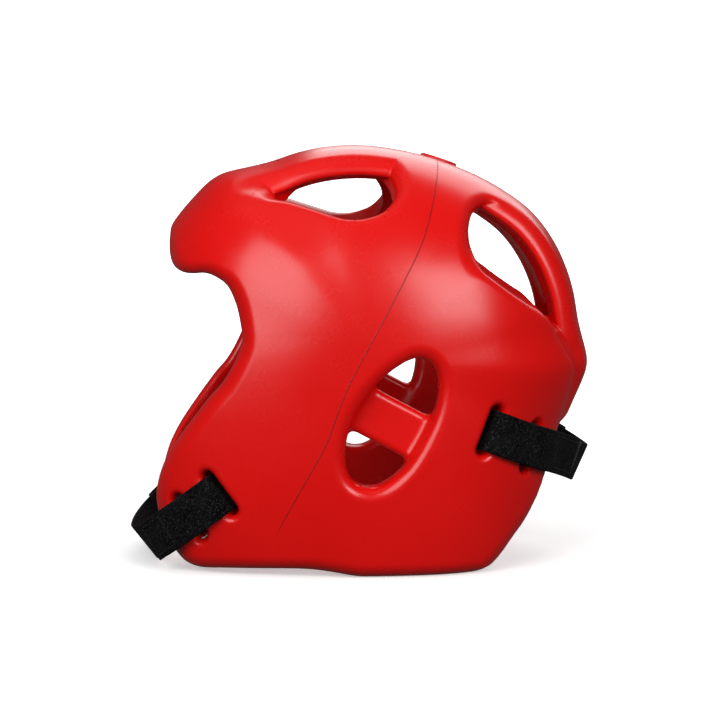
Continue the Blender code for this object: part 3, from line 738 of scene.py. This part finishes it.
class Look:
    """A Principled material with a few helpers for its nodes."""

    def __init__(self, name, roughness, specular=0.5, sheen=0.0, sheen_roughness=0.5):
        self.material = bpy.data.materials.new(name)
        self.material.use_nodes = True
        self.tree = self.material.node_tree
        self.shader = self.tree.nodes["Principled BSDF"]
        keys = ("Roughness", "Specular IOR Level", "Sheen Weight", "Sheen Roughness")
        for key, value in zip(keys, (roughness, specular, sheen, sheen_roughness)):
            self.feed(self.shader.inputs[key], value)
        self.place = self.node("ShaderNodeTexCoord").outputs["Object"]

    def node(self, kind, **settings):
        made = self.tree.nodes.new(kind)
        for key, value in settings.items():
            setattr(made, key, value)
        return made

    def link(self, source, target):
        self.tree.links.new(source, target)

    def feed(self, socket, value):
        """Sets a socket to a number or a colour, or links another socket to it."""
        if isinstance(value, (int, float)):
            socket.default_value = value
        elif isinstance(value, tuple):
            socket.default_value = (*value, 1.0)
        else:
            self.link(value, socket)

    def noise(self, scale, detail=3.0, rough=0.5, stretch=None):
        made = self.node("ShaderNodeTexNoise")
        made.inputs["Scale"].default_value = scale
        made.inputs["Detail"].default_value = detail
        made.inputs["Roughness"].default_value = rough
        source = self.place
        if stretch:
            mapping = self.node("ShaderNodeMapping")
            mapping.inputs["Scale"].default_value = stretch
            self.link(source, mapping.inputs["Vector"])
            source = mapping.outputs["Vector"]
        self.link(source, made.inputs["Vector"])
        return made.outputs["Fac"]

    def remap(self, value, low, high, to_low, to_high, smooth=False):
        made = self.node("ShaderNodeMapRange")
        made.clamp = True
        if smooth:
            made.interpolation_type = "SMOOTHSTEP"
        for key, number in zip(("From Min", "From Max", "To Min", "To Max"), (low, high, to_low, to_high)):
            made.inputs[key].default_value = number
        self.link(value, made.inputs["Value"])
        return made.outputs["Result"]

    def math(self, operation, *values):
        made = self.node("ShaderNodeMath", operation=operation)
        for socket, value in zip(made.inputs, values):
            self.feed(socket, value)
        return made.outputs[0]

    def mix(self, share, a, b):
        made = self.node("ShaderNodeMix", data_type="RGBA")
        for key, value in (("Factor", share), ("A", a), ("B", b)):
            self.feed([s for s in made.inputs if s.name == key and s.enabled][0], value)
        return [s for s in made.outputs if s.enabled][0]

    def colour(self, value):
        self.link(value, self.shader.inputs["Base Color"])

    def roughness(self, value):
        self.link(value, self.shader.inputs["Roughness"])

    def bump(self, height, distance, strength=1.0, under=None):
        made = self.node("ShaderNodeBump")
        made.inputs["Strength"].default_value = strength
        made.inputs["Distance"].default_value = distance
        self.link(height, made.inputs["Height"])
        if under is not None:
            self.link(under, made.inputs["Normal"])
        return made.outputs["Normal"]

    def finish(self, normal):
        self.link(normal, self.shader.inputs["Normal"])
        return self.material


def skin_look():
    """Dipped red skin over foam: satin, a little uneven, and paler where its edges are rubbed."""
    look = Look("dipped_red_skin", 0.30, specular=0.50)
    cloud = look.noise(9.0, 4.0)
    base = look.mix(look.remap(cloud, 0.3, 0.7, 0, 1), (0.735, 0.0034, 0.0024), (0.785, 0.0046, 0.0034))
    geometry = look.node("ShaderNodeNewGeometry")
    worn = look.remap(geometry.outputs["Pointiness"], 0.58, 0.70, 0.0, 0.12)
    base = look.mix(worn, base, (0.84, 0.012, 0.009))
    look.colour(base)
    smear = look.noise(16.0, 2.0, 0.4, stretch=(1.0, 0.6, 1.6))
    fine = look.noise(260.0, 1.0)
    uneven = look.remap(fine, 0.3, 0.7, -0.006, 0.006)
    look.roughness(look.math("ADD", look.remap(smear, 0.3, 0.7, 0.24, 0.30), uneven))
    waves = look.bump(look.noise(28.0, 2.0, 0.4), 0.0010, 0.35)
    peel = look.bump(look.noise(300.0, 1.0, 0.4), 0.00003, 0.25, under=waves)
    return look.finish(peel)


def bead_look():
    look = Look("parting_line_skin", 0.40, specular=0.4)
    look.colour(look.mix(look.noise(150.0), (0.30, 0.0030, 0.0026), (0.42, 0.0050, 0.0042)))
    return look.finish(look.bump(look.noise(700.0), 0.00008, 0.4))


def badge_look():
    look = Look("badge_plate", 0.42, specular=0.5)
    look.colour(look.mix(look.noise(120.0), (0.56, 0.010, 0.012), (0.66, 0.014, 0.014)))
    look.roughness(look.remap(look.noise(90.0), 0.3, 0.7, 0.36, 0.50))
    return look.finish(look.bump(look.noise(900.0, 2.0), 0.0001, 0.4))


def fabric_look(name, dark, light, scale, sheen, roughness=0.82, rib=None):
    look = Look(name, roughness, specular=0.05, sheen=sheen, sheen_roughness=0.45)
    patch = look.noise(60.0, 4.0)
    fibre = look.noise(scale, 3.0, 0.7)
    base = look.mix(look.remap(fibre, 0.50, 0.74, 0, 1), dark, light)
    base = look.mix(look.remap(patch, 0.40, 0.80, 0.0, 0.20), base, light)
    look.colour(base)
    look.roughness(look.remap(fibre, 0.2, 0.8, roughness - 0.12, min(1.0, roughness + 0.1)))
    normal = look.bump(fibre, 0.0006, 0.8)
    if rib:
        along = look.node("ShaderNodeUVMap", uv_map="along").outputs["UV"]
        parts = look.node("ShaderNodeSeparateXYZ")
        look.link(along, parts.inputs["Vector"])
        ends = look.math("SINE", look.math("MULTIPLY", parts.outputs["Y"], 2 * math.pi / rib))
        picks = look.math("SINE", look.math("MULTIPLY", parts.outputs["X"], 2 * math.pi / rib))
        normal = look.bump(look.math("MULTIPLY", ends, picks), 0.00012, 0.8, under=normal)
    return look.finish(normal)


SKIN = skin_look()
BEAD = bead_look()
BADGE = badge_look()
WEBBING_LOOK = fabric_look(
    "woven_webbing", (0.0003, 0.0003, 0.0003), (0.040, 0.040, 0.043), 900.0, 0.02, rib=0.0011
)
LOOP_LOOK = fabric_look("loop_pile", (0.006, 0.006, 0.007), (0.022, 0.022, 0.024), 2200.0, 0.20, 0.95)
HOOK_LOOK = fabric_look("hook_tape", (0.004, 0.004, 0.004), (0.010, 0.010, 0.011), 1800.0, 0.08, 0.70)
THREAD_LOOK = fabric_look("sewing_thread", (0.007, 0.007, 0.008), (0.024, 0.024, 0.026), 2600.0, 0.12, 0.65)


def stands_for(obj, body, node):
    """Says which body a piece rides on and which CAD node it replaces."""
    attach(obj, body)
    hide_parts(node)


# ---- Shell ----


def make_shell():
    verts, faces = mesh_surface(*SHELL_BOX, SHELL_CELL)
    verts = relax(verts, faces, 4)
    verts[:, 2] = np.maximum(verts[:, 2], 0.0)
    slopes = gradient(verts, 0.0009)
    slopes /= np.linalg.norm(slopes, axis=1)[:, None]
    shell = add_mesh("guard_shell", verts, faces.tolist(), SKIN, normals=slopes)
    stands_for(shell, "shell", "foam_shell")


def parting_x(z):
    """The mould's parting line, leaning back towards the crown."""
    line = catmull(PARTING_LINE, 12)[::-1]
    return np.interp(z, line[:, 0], line[:, 1])


def first_inside(places):
    """Where each row of places first enters the shell, and which rows do."""
    rows = np.arange(len(places))
    values = shell_distance(places.reshape(-1, 3)).reshape(places.shape[:2])
    index = np.argmax(values < 0, axis=1)
    v0, v1 = values[rows, index - 1], values[rows, index]
    share = (v0 / (v0 - v1))[:, None]
    return places[rows, index - 1] * (1 - share) + places[rows, index] * share, index > 0


def make_parting_line():
    angles = np.radians(np.linspace(-149, 149, 620))
    outward = np.stack([np.zeros_like(angles), np.sin(angles), np.cos(angles)], axis=1)
    marks = np.linspace(0.16, 0.05, 180)
    places = np.array((0, 0, 0.125)) + outward[:, None] * marks[None, :, None]
    places[..., 0] = parting_x(places[..., 2])
    path, met = first_inside(places)
    path = path[met & (path[:, 2] > PARTING_FADE[0])]
    up = gradient(path)
    up /= np.linalg.norm(up, axis=1)[:, None]
    radii = PARTING_BEAD * smooth_step(path[:, 2], *PARTING_FADE) + 0.00002
    verts, faces = tube(path - up * 0.00012, radii, up, 8, squash=0.75)
    bead = add_mesh("parting_line", verts, faces.tolist(), BEAD)
    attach(bead, "shell")


def make_badge():
    """A plain round plate that follows the crown, with a rolled rim."""
    rings, spokes = 22, 96
    start, reach, steps = 0.15, 0.06, 220
    flat, rim_rise, drop, sunk = 0.62, 0.30, 0.0006, 0.0008
    angle = math.radians(BADGE_ANGLE)
    outward = np.array((math.cos(angle), 0.0, math.sin(angle)))
    ahead = np.array((-outward[2], 0.0, outward[0]))
    side = np.array((0.0, 1.0, 0.0))
    turns = 2 * math.pi * np.arange(spokes) / spokes
    share = np.repeat(np.arange(1, rings + 1) / rings, spokes)[:, None]
    spread = np.tile(ahead * np.cos(turns)[:, None] + side * np.sin(turns)[:, None], (rings, 1))
    base = np.vstack([share * BADGE_RADIUS * spread, np.zeros(3)]) + FORM_CENTRE + outward * start
    marks = np.linspace(0, reach, steps)
    ground, _ = first_inside(base[:, None] - outward * marks[None, :, None])
    ground, centre = ground[:-1], ground[-1]
    rim = smooth_step(share, 0.84, 0.90) * (1 - smooth_step(share, 0.93, 1.0))
    lift = BADGE_THICKNESS * (flat + rim_rise * rim) - drop * np.maximum(0, share - 0.95) / 0.05
    low_rim = ground[-spokes:] - outward * sunk
    hub = [centre + outward * BADGE_THICKNESS * flat, centre - outward * sunk]
    verts = np.vstack([ground + outward * lift, low_rim, hub])
    faces = ring_quads(rings + 1, spokes).tolist()
    low, middle = rings * spokes, (rings + 1) * spokes
    for k in range(spokes):
        after = (k + 1) % spokes
        faces += [(middle, k, after), (low + k, middle + 1, low + after)]
    stands_for(add_mesh("badge_plate", verts, faces, BADGE), "shell", "crown_badge")


# ---- Webbing ----


def spaced(first, last):
    """Places along a strap, an even distance apart."""
    count = max(2, round(abs(last - first) / MARK_STEP))
    return [first + (last - first) * i / count for i in range(count + 1)]


def band_frames(run, marks):
    """Centre and sideways direction of a band at each (u, lift) place."""
    centres = np.array([run.point(u, lift) for u, lift in marks])
    high = np.array([run.point(u, lift, 0.001) for u, lift in marks])
    across = (high - centres) * 1000
    return centres, across / np.linalg.norm(across, axis=1)[:, None]


def even_frames(centres, across, step):
    """The same frames an even distance apart, with the bends eased."""
    walked = np.concatenate([[0], np.cumsum(np.linalg.norm(np.diff(centres, axis=0), axis=1))])
    where = np.linspace(0, walked[-1], max(4, round(walked[-1] / step)))
    centres = np.stack([np.interp(where, walked, centres[:, k]) for k in range(3)], axis=1)
    across = np.stack([np.interp(where, walked, across[:, k]) for k in range(3)], axis=1)
    kernel = np.array([1, 4, 6, 4, 1]) / 16
    for _ in range(6):
        padded = np.vstack([centres[:1]] * 2 + [centres] + [centres[-1:]] * 2)
        smoothed = sum(kernel[k] * padded[k : k + len(centres)] for k in range(5))
        smoothed[:3], smoothed[-3:] = centres[:3], centres[-3:]
        centres = smoothed
    return where, centres, across / np.linalg.norm(across, axis=1)[:, None]


def weave(u, v, pitch):
    """Height of a ribbed plain weave, from -1 to 1."""
    over = np.sin(2 * math.pi * u / pitch) * np.sign(np.sin(math.pi * v / (0.62 * pitch)))
    cord = np.abs(np.cos(math.pi * v / (0.62 * pitch)))
    return 0.65 * over * (0.4 + 0.6 * cord) + 0.35 * (cord * 2 - 1)


def pile(u, v, pitch):
    """Height of brushed loops, uneven all over."""
    a = np.sin(u / pitch * 5.1 + 2.1 * np.sin(v / pitch * 3.7))
    b = np.sin(v / pitch * 6.3 + 1.7 * np.sin(u / pitch * 4.3 + 1.0))
    return 0.5 * (a * b + np.sin(u / pitch * 11.3 + v / pitch * 7.9))


def hooks(u, v, pitch):
    """Height of moulded hooks, standing in rows."""
    rows = np.maximum(0, np.sin(2 * math.pi * u / pitch)) * np.maximum(0, np.sin(2 * math.pi * v / pitch))
    return rows * 2 - 0.5


# Raised patterns: the function, its height and its pitch.
WOVEN = (weave, 0.00012, 0.0016)
LOOPED = (pile, 0.00012, 0.0019)
HOOKED = (hooks, 0.00010, 0.0012)


def band(name, frames, width, thickness, look, pattern):
    """A band with rounded edges and a pattern raised on both faces."""
    relief, height, pitch = pattern
    where, centres, across = even_frames(*frames, BAND_STEP)
    squares = np.cross(across, np.gradient(centres, axis=0))
    squares /= np.linalg.norm(squares, axis=1)[:, None]
    cells, half, thick = BAND_CELLS, width / 2, thickness / 2
    places = np.linspace(-half, half, cells + 1)
    soft = np.clip((np.abs(places) - (half - thick)) / thick, 0, 1)
    order = list(range(cells + 1)) + list(range(cells - 1, 0, -1))
    face = np.array([1.0] * (cells + 1) + [-1.0] * (cells - 1))
    round_off = np.sqrt(1 - soft**2)[order]
    u, v = np.meshgrid(where, places[order], indexing="ij")
    raised = height * relief(u, v + (face < 0) * pitch * 0.31, pitch) * round_off * face
    total = face * round_off * (thick - height) + raised
    verts = centres[:, None] + across[:, None] * v[..., None] + squares[:, None] * total[..., None]
    rows, ring = len(where), len(order)
    faces = ring_quads(rows, ring).tolist()
    for first, flip in ((0, False), ((rows - 1) * ring, True)):
        for a in range(cells):
            below = ((ring - a - 1) if a + 1 < cells else cells, (ring - a) % ring)
            cap = [first + k for k in dict.fromkeys((a, a + 1, *below))]
            faces.append(cap[::-1] if flip else cap)
    uvs = np.stack([u, v], axis=-1).reshape(-1, 2)
    return add_mesh(name, verts.reshape(-1, 3), faces, look, uvs=uvs)


def main_marks(run, size):
    outer = size["slot_spacing"]
    lift = GAP + WEBBING / 2
    behind = [(u, -run.wall(u) - BEHIND_BRIDGE) for u in (0.0060, outer / 2, outer - 0.0060)]
    marks = [(0.0005, -0.0080), (0.0015, behind[0][1] + 0.0040), *behind]
    marks += [(outer - 0.0015, behind[2][1] + 0.0040), (outer - 0.0008, -0.0080)]
    marks += [(outer - 0.0004, -0.0035), (outer + 0.0022, 0.0006), (outer + 0.0050, lift)]
    line = [tuple(p) for p in catmull(marks, 6)]
    return line + [(u, lift) for u in spaced(outer + 0.0060, run.length)]


def tail_marks(size):
    lift = 4 * GAP + 1.5 * WEBBING + 2 * TAPE
    outer = size["slot_spacing"]
    marks = [(0.0004, -0.0070), (0.0004, -0.0035), (0.0010, -0.0004), FOLD, (0.0090, 0.0030),
             (outer - 0.0080, 0.0044), (outer + 0.0020, lift)]
    line = [tuple(p) for p in catmull(marks, 8)]
    return line + [(u, lift) for u in spaced(outer + 0.0035, size["tail_length"])]


def make_strap(name, size):
    halves = []
    for side in SIDES.values():
        run = StrapRun(size, side)
        halves.append(band_frames(run, main_marks(run, size)))
    frames = [np.vstack([left, right[-2::-1]]) for left, right in zip(*halves)]
    strap = band(f"{name}_webbing", frames, STRAP_WIDTH, WEBBING, WEBBING_LOOK, WOVEN)
    stands_for(strap, "shell", f"{name}_strap")


def make_tape(name, run, first, last, low, look, pattern):
    """A tape laid along the strap between two places, low being its underside."""
    marks = [(u, low + TAPE / 2) for u in spaced(first, last)]
    return band(name, band_frames(run, marks), TAPE_WIDTH, TAPE, look, pattern)


def make_stitches(name, run, first, last, lift):
    """A box of separate stitches, each a small thread bent down into the webbing at its ends."""
    reach = TAPE_WIDTH / 2 - STITCH_INSET
    corners = [(first, -reach), (last, -reach), (last, reach), (first, reach), (first, -reach)]
    start, end = STITCH_ENDS
    verts, faces, base = [], [], 0
    for (u0, a0), (u1, a1) in zip(corners, corners[1:]):
        count = round(math.hypot(u1 - u0, a1 - a0) / STITCH_PITCH)
        up = np.array(run.point(u0, lift + 0.001) - run.point(u0, lift)) / 0.001
        squares = np.tile(up, (len(THREAD_RADII), 1))
        for i in range(count):
            path = []
            for s in np.linspace(start, end, len(THREAD_RADII)):
                share = (i + s) / count
                rise = STITCH_RISE * math.sin(math.pi * (s - start) / (end - start)) - STITCH_SUNK
                path.append(run.point(u0 + (u1 - u0) * share, lift + rise, a0 + (a1 - a0) * share))
            v, f = tube(np.array(path), THREAD_RADII, squares, 6)
            verts.append(v)
            faces.append(f + base)
            base += len(v)
    return add_mesh(name, np.vstack(verts), np.vstack(faces).tolist(), THREAD_LOOK)


def make_closure(name, size, side_name):
    """The tail of one side with its hook tape and stitches, and the loop tape that it closes on."""
    run = StrapRun(size, SIDES[side_name])
    body = f"{name}_{side_name}_tail"
    loop_low = 2 * GAP + WEBBING
    hook_low = loop_low + TAPE + GAP
    first, end = size["loop_start"], size["tail_length"]
    loop = make_tape(f"{name}_loop_pile_{side_name}", run, first, size["loop_end"], loop_low,
                     LOOP_LOOK, LOOPED)
    stands_for(loop, "shell", f"{name}_loop_tape_{side_name}")
    hook = make_tape(f"{name}_hook_rows_{side_name}", run, first + 0.002, end - 0.001, hook_low,
                     HOOK_LOOK, HOOKED)
    stands_for(hook, body, f"{name}_hook_tape_{side_name}")
    frames = band_frames(run, tail_marks(size))
    tail = band(f"{name}_tail_webbing_{side_name}", frames, STRAP_WIDTH, WEBBING, WEBBING_LOOK, WOVEN)
    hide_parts(f"{name}_tail_{side_name}")
    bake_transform(tail)
    stitch_lift = hook_low + TAPE + 2 * GAP + WEBBING + 0.0001
    stitches = make_stitches(f"{name}_stitches_{side_name}", run, first + 0.004, end - 0.003, stitch_lift)
    stands_for(stitches, body, f"{name}_hook_stitching_{side_name}")


make_shell()
make_parting_line()
make_badge()
for strap_name, strap_size in STRAPS.items():
    make_strap(strap_name, strap_size)
    for side_word in SIDES:
        make_closure(strap_name, strap_size, side_word)


# ---- Stage ----


def paper():
    """White paper, lit a little from within, and more so towards the back."""
    look = Look("studio_paper", 0.9, specular=0.1)
    look.colour(look.mix(look.noise(3.0), (0.93, 0.93, 0.93), (0.96, 0.96, 0.96)))
    parts = look.node("ShaderNodeSeparateXYZ")
    look.link(look.place, parts.inputs["Vector"])
    glow = look.remap(parts.outputs["Y"], 0.1, 1.3, 0.42, 0.95, smooth=True)
    look.link(glow, look.shader.inputs["Emission Strength"])
    look.shader.inputs["Emission Color"].default_value = (1.0, 1.0, 1.0, 1.0)
    return look.finish(look.bump(look.noise(400.0), 0.0001, 0.1))


def make_stage():
    """A white table that sweeps up into a backdrop."""
    reach, bend = 3.0, 0.9
    turn = np.radians(np.arange(0, 91, 6))
    curve = [(bend + bend * math.sin(a), bend - bend * math.cos(a)) for a in turn]
    rows = [(-reach, 0.0), *curve, (2 * bend, 3.2)]
    verts = [(x, y, z) for y, z in rows for x in (-reach, reach)]
    faces = [(2 * i, 2 * i + 1, 2 * i + 3, 2 * i + 2) for i in range(len(rows) - 1)]
    sweep = add_mesh("paper_sweep", np.array(verts), faces, paper())
    sweep.visible_glossy = sweep.visible_diffuse = False


def away(azimuth, elevation):
    """A direction away from the guard. Azimuth 0 is square to the wearer's left side."""
    a, e = math.radians(azimuth), math.radians(elevation)
    return Vector((math.sin(a) * math.cos(e), -math.cos(a) * math.cos(e), math.sin(e)))


def add_softbox(name, azimuth, elevation, distance, size, power):
    """A soft light facing the guard."""
    light = bpy.data.lights.new(name, "AREA")
    light.shape = "RECTANGLE"
    light.size, light.size_y = size
    light.energy = power
    box = add_object(name, light)
    box.location = LIGHT_TARGET + away(azimuth, elevation) * distance
    box.rotation_euler = away(azimuth, elevation).to_track_quat("Z", "Y").to_euler()
    return box


def make_camera():
    data = bpy.data.cameras.new("camera")
    data.lens, data.sensor_width = CAMERA_LENS, CAMERA_SENSOR
    back = away(CAMERA_AZIMUTH, CAMERA_ELEVATION)
    camera = add_object("camera", data)
    camera.location = CAMERA_TARGET + back * CAMERA_DISTANCE
    camera.rotation_euler = back.to_track_quat("Z", "Y").to_euler()
    bpy.context.scene.camera = camera


def make_world():
    world = bpy.data.worlds.new("studio")
    world.use_nodes = True
    shader = world.node_tree.nodes["Background"]
    shader.inputs["Color"].default_value = (1, 1, 1, 1)
    shader.inputs["Strength"].default_value = WORLD_STRENGTH
    bpy.context.scene.world = world


make_stage()
make_world()
add_softbox("softbox_left", -33, 22, 1.6, (1.00, 1.00), 14.5)
add_softbox("softbox_right", 30, 21, 1.6, (0.80, 0.75), 12.5)
add_softbox("softbox_back", 158, 38, 1.7, (1.50, 1.20), 13.0)
overhead = add_softbox("overhead", -60, 72, 1.9, (1.9, 1.6), 11.5)
overhead.visible_glossy = False
make_camera()
bpy.context.scene.view_settings.view_transform = "Standard"
